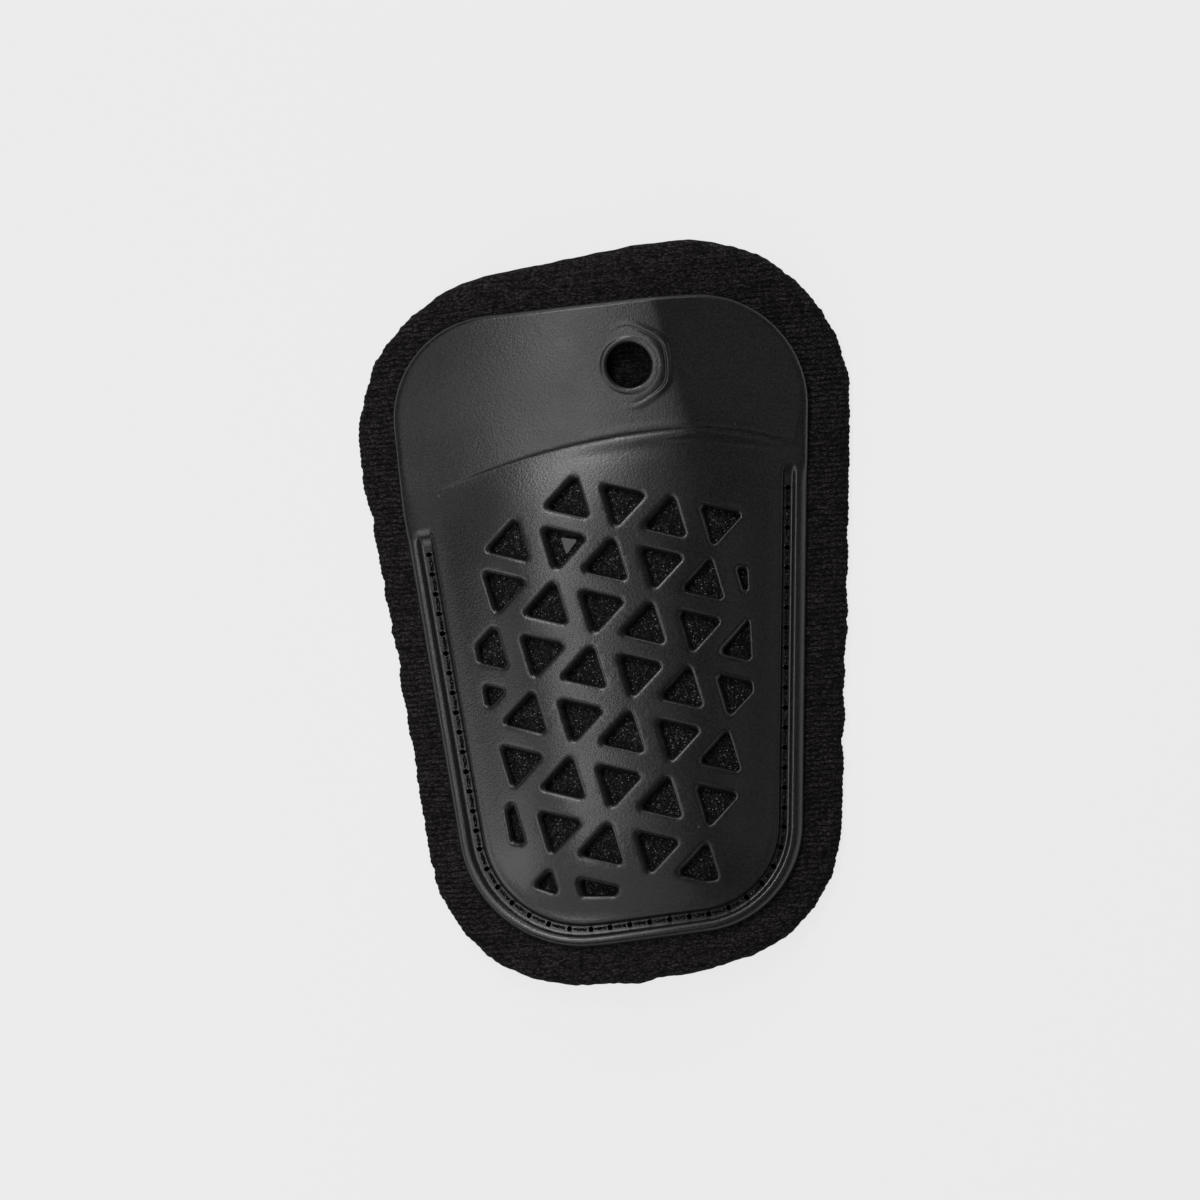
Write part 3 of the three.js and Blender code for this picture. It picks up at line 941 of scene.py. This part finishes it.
def collar_loops(bm):
    """Rings of the collar, from its hexagon to the round hole and down through the shell."""
    d = sizes("detail")
    outline = Outline(collar_corners(), COLLAR_STEP)
    middle = Vector((d.eye_x, d.eye_y))
    first = ring(bm, outline, -COLLAR_RINGS[0] * MM, 0)
    edge = first
    for grow in COLLAR_RINGS[1:]:
        edge, _ = sweep(bm, edge, lambda k: Vector((*outline.at(k, -grow * MM), 0)))
    for grow, height in EYE_RIM:
        def place(k):
            away = (outline.points[k] - middle).normalized()
            low = 1 - RIM_FADE * ease(0.4 + away.x) if height > 0 else 1
            return Vector((*(middle + away * (d.eye_dia / 2 + grow * MM)), height * low * MM))
        edge, _ = sweep(bm, edge, place)
    return first, edge


def follow(bm, faces, axis, line, offsets):
    """Cuts faces along a curved line: the plan is straightened to it, cut, and bent back."""
    for v in {v for f in faces for v in f.verts}:
        v.co[axis] -= line(v.co[1 - axis])
    places = [offset * MM for offset in offsets]
    faces = faces_of(cut_across(bm, whole(faces), axis, places, LINE_SNAP))
    for v in {v for f in faces for v in f.verts}:
        v.co[axis] += line(v.co[1 - axis])
    return faces


def needle_holes(bm, band, outline):
    """Sinks a small round hole in the groove's floor at each stitch and marks its inside, where the plastic's
    finish paints shade.
    """
    layer = bm.verts.layers.int["station"]
    # mark of the holes' insides, which the plastic's finish paints near-black as shade
    depth = bm.verts.layers.float.new("needle")
    wanted = {k % outline.count for k in needle_stations(outline)}
    for face in band:
        stations = sorted({v[layer] for v in face.verts})
        if stations[0] in wanted and stations[-1] - stations[0] == 1:
            bmesh.ops.inset_region(bm, faces=[face], thickness=NEEDLE_INSET, depth=0)
            for side in face.edges[:]:
                bmesh.utils.edge_split(side, side.verts[0], 0.5)
            middle = face.calc_center_median()
            for v in face.verts:
                v.co = middle + (v.co - middle).normalized() * sizes("detail").needle_dia / 2
            for thickness, deep in NEEDLE_STEPS:
                bmesh.ops.inset_region(bm, faces=[face], thickness=thickness * MM, depth=-deep * MM)
                for v in face.verts:
                    v[depth] = 1.0


def build_shell(form):
    """Shell: swept edge with bead and groove, sliced plate, rounded vents, closed back."""
    bm = bmesh.new()
    outline = shell_outline()
    shares = [sewn_share(outline, k) for k in range(outline.count)]

    def station_place(inset, skew, sewn, flap, lip):
        def place(k):
            normal = outline.normals[k]
            narrow = 1 - FREE_NARROW * free_share(outline, k)
            p = outline.at(k, (inset * (1 + SIDE_WIDE * abs(normal.x)) + skew * normal.x) * narrow * MM)
            free = flap + lip * max(normal.y, 0.0)
            tilt = BEAD_TILT * normal.x * (inset - BEAD_MIDDLE)
            bead = sewn + (tilt if BEAD_FROM < inset < BEAD_TO else 0)
            return Vector((p.x, p.y, (free + (bead - free) * shares[k]) * MM))
        return place

    def off_crease(face):
        middle = face.calc_center_median()
        return abs(middle.y - form.crease(middle.x))

    def off_ridge(face):
        middle = face.calc_center_median()
        return abs(middle.x - form.ridge(middle.y)) if middle.y > form.body.flap_start else math.inf

    back_edge = ring(bm, outline, 0, EDGE_SECTION[0][2] * MM)
    edge = back_edge
    band = []
    for n, section in enumerate(EDGE_SECTION[1:], 1):
        edge, faces = sweep(bm, edge, station_place(*section))
        if n == NEEDLE_BAND:
            band = faces
    loops = [collar_loops(bm)]
    for row, (first, last) in enumerate(VENT_ROWS, 1):
        for number in range(first, last + 1):
            loops.append(rim_loops(bm, Outline(vent_corners(row, number), VENT_STEP), VENT_RIM))
    plate = fill(bm, edge + [e for front, _ in loops for e in front], PLATE_STEP)
    near = [f for f in plate if off_crease(f) < CREASE_NEAR]
    kept = set(plate) - set(near)
    plate = follow(bm, near, 1, form.crease, CREASE_CUTS) + [f for f in kept if f.is_valid]
    near = [f for f in plate if off_ridge(f) < RIDGE_NEAR]
    follow(bm, near, 0, form.ridge, RIDGE_CUTS)
    fill(bm, back_edge + [e for _, back in loops for e in back], PLAIN_STEP, (0, 0, -1))
    needle_holes(bm, band, outline)
    for v in bm.verts:
        x, y, z = v.co
        share = clamp(1 + z / form.body.shell_thick)
        v.co.z = z + form.plain_face(x, y) + (form.shell_face(x, y) - form.plain_face(x, y)) * share
    return finish_mesh(bm, "vented_shell")


def build_thread(form):
    """Lockstitch in the groove: two twisted plies that dive into each needle hole."""
    d = sizes("detail")
    outline = shell_outline()
    holes = needle_stations(outline)
    curve = bpy.data.curves.new("stitching", "CURVE")
    curve.dimensions = "3D"
    curve.bevel_depth = d.thread_dia / 2
    curve.bevel_resolution = 1
    curve.use_fill_caps = True
    for first, last in zip(holes, holes[1:]):
        for ply in (0, math.pi):
            spline = curve.splines.new("POLY")
            spline.points.add(THREAD_STEPS)
            for n in range(THREAD_STEPS + 1):
                t = n / THREAD_STEPS
                share = STITCH_ARC[0][0] + (STITCH_ARC[-1][0] - STITCH_ARC[0][0]) * t
                height = stitch_height(share)
                twist = ply + t * THREAD_TWIST
                station = first + 0.5 + share * (last - first)
                lean = THREAD_LEAN * abs(outline.normals[round(station) % outline.count].x)
                p = outline.at(station, d.stitch_in + lean + math.cos(twist) * d.ply_reach)
                z = form.plain_face(p.x, p.y) + height * MM + math.sin(twist) * d.ply_reach * PLY_FLAT
                spline.points[n].co = (p.x, p.y, z, 1)
    holder = bpy.data.objects.new("stitching", curve)
    mesh = bpy.data.meshes.new_from_object(holder)
    bpy.data.objects.remove(holder)
    bpy.data.curves.remove(curve)
    piece = bpy.data.objects.new("stitching", mesh)
    bpy.context.scene.collection.objects.link(piece)
    mesh.shade_smooth()
    return piece


def stitch_height(share):
    """Height of a stitch along its length, between the points of its arc."""
    for (s0, h0), (s1, h1) in zip(STITCH_ARC, STITCH_ARC[1:]):
        if share <= s1:
            return h0 + (h1 - h0) * (share - s0) / (s1 - s0)
    return STITCH_ARC[-1][1]


def build_foam(form):
    """Foam insert with a crumbly face of small open cells."""
    c = sizes("cloth")
    bm = bmesh.new()
    outline = Outline(FOAM_CORNERS, FOAM_EDGE)
    low = ring(bm, outline, 0, 0)
    high, _ = sweep(bm, low, lambda k: Vector((*outline.points[k], 1 * MM)))
    fill(bm, high, c.foam_step)
    fill(bm, low, PLAIN_STEP, (0, 0, -1))
    for v in bm.verts:
        x, y, z = v.co
        bed = form.seat(x, y)
        face = form.shell_back(x, y) - form.body.seat_gap
        at = Vector((x, y, 0)) / FOAM_CELL
        pit = c.foam_pit * (0.5 + 0.5 * noise.noise(at))
        pit += 0.25 * c.foam_pit * (1 + noise.noise(at * FINE_CELLS))
        height = bed + (face - bed) * (z / MM)
        v.co.z = max(height - pit * (z / MM), bed + FOAM_LEAST * (z / MM))
    return finish_mesh(bm, "foam_core")


def build_film(form):
    """Small smooth patch of skin on the foam, under one vent."""
    bm = bmesh.new()
    corners = [Vector(c) * MM for c in FILM_CORNERS]
    verts = [bm.verts.new((p.x, p.y, 0)) for p in corners]
    bm.faces.new(verts)
    bmesh.ops.bevel(bm, geom=verts, offset=FILM_ROUND, offset_type="OFFSET", segments=3, profile=0.5,
                    affect="VERTICES", material=-1)
    bmesh.ops.solidify(bm, geom=bm.faces[:], thickness=FILM_THICK)
    for v in bm.verts:
        v.co.z += form.shell_back(v.co.x, v.co.y) - form.body.seat_gap - FILM_SINK
    return finish_mesh(bm, "foam_skin", smooth=False)


def pad_blank(form, outline):
    """Closed pad: swept rim, filled back and face."""
    thick = form.body.pad_thick
    grow = sizes("cloth").pad_grow
    bm = bmesh.new()
    low = ring(bm, outline, PAD_SECTION[0][0] * MM, 0)
    edge = low
    for inset, level in PAD_SECTION[1:]:
        edge, _ = sweep(bm, edge, lambda k: Vector((*outline.at(k, inset * MM - grow), level * thick)))
    fill(bm, edge, PLAIN_STEP)
    fill(bm, low, PLAIN_STEP, (0, 0, -1))
    for v in bm.verts:
        x, y, z = v.co
        back = form.pad_back(x, y)
        v.co.z = back + (form.pad_face(x, y) - back) * z / thick
    return finish_mesh(bm, "knit_pad")


def fill_rim(piece, form):
    """Cloth with air pressure fills the rim of the pad outside the shell; the rest is held."""
    c = sizes("cloth")
    shell = shell_outline()
    mesh = piece.data
    start = [v.co.copy() for v in mesh.vertices]
    held = piece.vertex_groups.new(name="held")
    for v in mesh.vertices:
        out, _ = shell.outside(v.co.x, v.co.y)
        low = v.co.z < form.pad_back(v.co.x, v.co.y) + HELD_LEVEL * form.body.pad_thick
        if out < RIM_CLEAR or low:
            held.add([v.index], 1.0, "REPLACE")
    cloth = piece.modifiers.new("Cloth", "CLOTH")
    cloth.settings.quality = 6
    cloth.settings.mass = 0.2
    cloth.settings.tension_stiffness = 12
    cloth.settings.compression_stiffness = 12
    cloth.settings.use_pressure = True
    cloth.settings.uniform_pressure_force = c.pressure
    cloth.settings.vertex_group_mass = "held"
    cloth.settings.effector_weights.gravity = 0
    cloth.collision_settings.use_collision = False
    scene = bpy.context.scene
    for step in range(1, FILL_FRAMES + 1):
        scene.frame_set(step)
    filled = piece.evaluated_get(bpy.context.evaluated_depsgraph_get()).to_mesh()
    ends = [v.co.copy() for v in filled.vertices]
    piece.evaluated_get(bpy.context.evaluated_depsgraph_get()).to_mesh_clear()
    piece.modifiers.remove(cloth)
    scene.frame_set(1)
    for v, a, b in zip(mesh.vertices, start, ends):
        move = b - a
        if move.length > c.swell_cap:
            move = move.normalized() * c.swell_cap
        v.co = a + move
        v.co.z = max(v.co.z, 0.0)
    piece.vertex_groups.clear()


def refine(piece, levels):
    """Applies a subdivision surface."""
    fine = piece.modifiers.new("Fine", "SUBSURF")
    fine.levels = levels
    fine.render_levels = levels
    mesh = bpy.data.meshes.new_from_object(piece.evaluated_get(bpy.context.evaluated_depsgraph_get()))
    piece.modifiers.clear()
    rough = piece.data
    piece.data = mesh
    bpy.data.meshes.remove(rough)


def build_pad(form):
    """Soft pad: filled rim, then a wavy cut edge with the scallops of the knit's ribs."""
    c = sizes("cloth")
    outline = Outline(PAD_CORNERS, c.pad_step)
    piece = pad_blank(form, outline)
    fill_rim(piece, form)
    refine(piece, 2)
    for v in piece.data.vertices:
        x, y, z = v.co
        out, k = outline.outside(x, y)
        plan = Vector((x, y, 0))
        near = ease(1 + out / EDGE_REACH)
        if near > 0:
            normal = outline.normals[k]
            scallop = math.sin(2 * math.pi * y / c.rib_pitch + 1.5 * noise.noise(plan / RIB_WANDER))
            wave = noise.noise(plan / EDGE_LONG)
            wave += noise.noise(Vector((x, y, z)) / EDGE_SHORT) * EDGE_SHORT_SHARE
            ragged = CALM_EDGE + (1 - CALM_EDGE) * max(abs(normal.x), -normal.y)
            move = near * (c.rib_edge * scallop * abs(normal.x) + c.edge_wave * wave * ragged)
            v.co.x += normal.x * move
            v.co.y += normal.y * move
        if z > form.pad_back(x, y) + FACE_LEVEL * form.body.pad_thick and out > -FACE_REACH:
            v.co.z += FACE_RISE * noise.noise(plan / FACE_WAVE)
    piece.data.shade_smooth()
    return piece


class GUARD_OT_shell(bpy.types.Operator):
    """Makes the vented plastic shell"""

    bl_idname = "guard.shell"
    bl_label = "Vented shell"

    def execute(self, context):
        settle(build_shell(GuardForm()), moulded_plastic(), "shell_plastic", "shell")
        return {"FINISHED"}


class GUARD_OT_stitching(bpy.types.Operator):
    """Makes the sewing thread in the groove"""

    bl_idname = "guard.stitching"
    bl_label = "Stitching"

    def execute(self, context):
        settle(build_thread(GuardForm()), twisted_thread(), "pad_fabric")
        return {"FINISHED"}


class GUARD_OT_foam(bpy.types.Operator):
    """Makes the foam under the vents, with its patch of skin"""

    bl_idname = "guard.foam"
    bl_label = "Foam"

    def execute(self, context):
        form = GuardForm()
        core = build_foam(form)
        settle(core, open_foam(), "insert_foam", "foam_insert")
        settle(build_film(form), skin_film(), "insert_foam")
        return {"FINISHED"}


class GUARD_OT_pad(bpy.types.Operator):
    """Makes the soft knit-faced pad"""

    bl_idname = "guard.pad"
    bl_label = "Pad"

    def execute(self, context):
        piece = build_pad(GuardForm())
        settle(piece, knit_cloth(), "pad_fabric", "pad")
        return {"FINISHED"}


class GUARD_OT_stage(bpy.types.Operator):
    """Makes the floor, the lights and the camera"""

    bl_idname = "guard.stage"
    bl_label = "Stage"

    def execute(self, context):
        s = sizes("stage")
        scene = context.scene
        bm = bmesh.new()
        bmesh.ops.create_grid(bm, x_segments=1, y_segments=1, size=s.floor_wide / 2)
        floor = finish_mesh(bm, "floor", smooth=False)
        floor.data.materials.append(studio_floor())
        for row in LAMPS:
            lamp(*row)
        world = bpy.data.worlds.new("studio")
        world.use_nodes = True
        sky = world.node_tree.nodes["Background"]
        sky.inputs["Color"].default_value = (1, 1, 1, 1)
        sky.inputs["Strength"].default_value = WORLD_GLOW
        scene.view_settings.view_transform = "Standard"
        scene.world = world
        data = bpy.data.cameras.new("camera")
        data.sensor_width = 36
        data.lens = data.sensor_width * (s.view_high - AIM_HIGH) / s.view_wide
        data.clip_end = 20
        camera = bpy.data.objects.new("camera", data)
        camera.location = (s.view_x, s.view_y, s.view_high)
        camera.rotation_euler = (0, 0, s.view_turn)
        scene.collection.objects.link(camera)
        scene.camera = camera
        return {"FINISHED"}


def lamp(name, place, size, power):
    """Soft rectangular light aimed at the guard."""
    data = bpy.data.lights.new(name, "AREA")
    data.shape = "RECTANGLE"
    data.size, data.size_y = size
    data.energy = power
    light = bpy.data.objects.new(name, data)
    light.location = place
    back = Vector(place).normalized()
    side = (Vector((1, 0, 0)) - back * back.x).normalized()
    light.rotation_euler = Matrix((side, back.cross(side), back)).transposed().to_euler()
    bpy.context.scene.collection.objects.link(light)


OPERATORS = (GUARD_OT_pad, GUARD_OT_foam, GUARD_OT_shell, GUARD_OT_stitching, GUARD_OT_stage)
GROUPS = {
    "body": GuardBodySizes,
    "detail": GuardDetailSizes,
    "cloth": GuardClothSizes,
    "colours": GuardColours,
    "stage": GuardStageSizes,
}


class GUARD_PT_panel(bpy.types.Panel):
    """Sidebar panel of the guard"""

    bl_idname = "GUARD_PT_panel"
    bl_label = "Shin Guard"
    bl_space_type = "VIEW_3D"
    bl_region_type = "UI"
    bl_category = "Guard"

    def draw(self, context):
        for operator in OPERATORS:
            self.layout.operator(operator.bl_idname)
        for name, group in GROUPS.items():
            box = self.layout.box()
            for key in group.__annotations__:
                box.prop(getattr(context.scene, "guard_" + name), key)


def register():
    for name, group in GROUPS.items():
        bpy.utils.register_class(group)
        setattr(bpy.types.Scene, "guard_" + name, PointerProperty(type=group))
    for operator in OPERATORS:
        bpy.utils.register_class(operator)
    bpy.utils.register_class(GUARD_PT_panel)


def unregister():
    bpy.utils.unregister_class(GUARD_PT_panel)
    for operator in reversed(OPERATORS):
        bpy.utils.unregister_class(operator)
    for name, group in reversed(GROUPS.items()):
        delattr(bpy.types.Scene, "guard_" + name)
        bpy.utils.unregister_class(group)


def main():
    register()
    for operator in OPERATORS:
        group, name = operator.bl_idname.split(".")
        getattr(getattr(bpy.ops, group), name)()


if __name__ == "__main__":
    main()
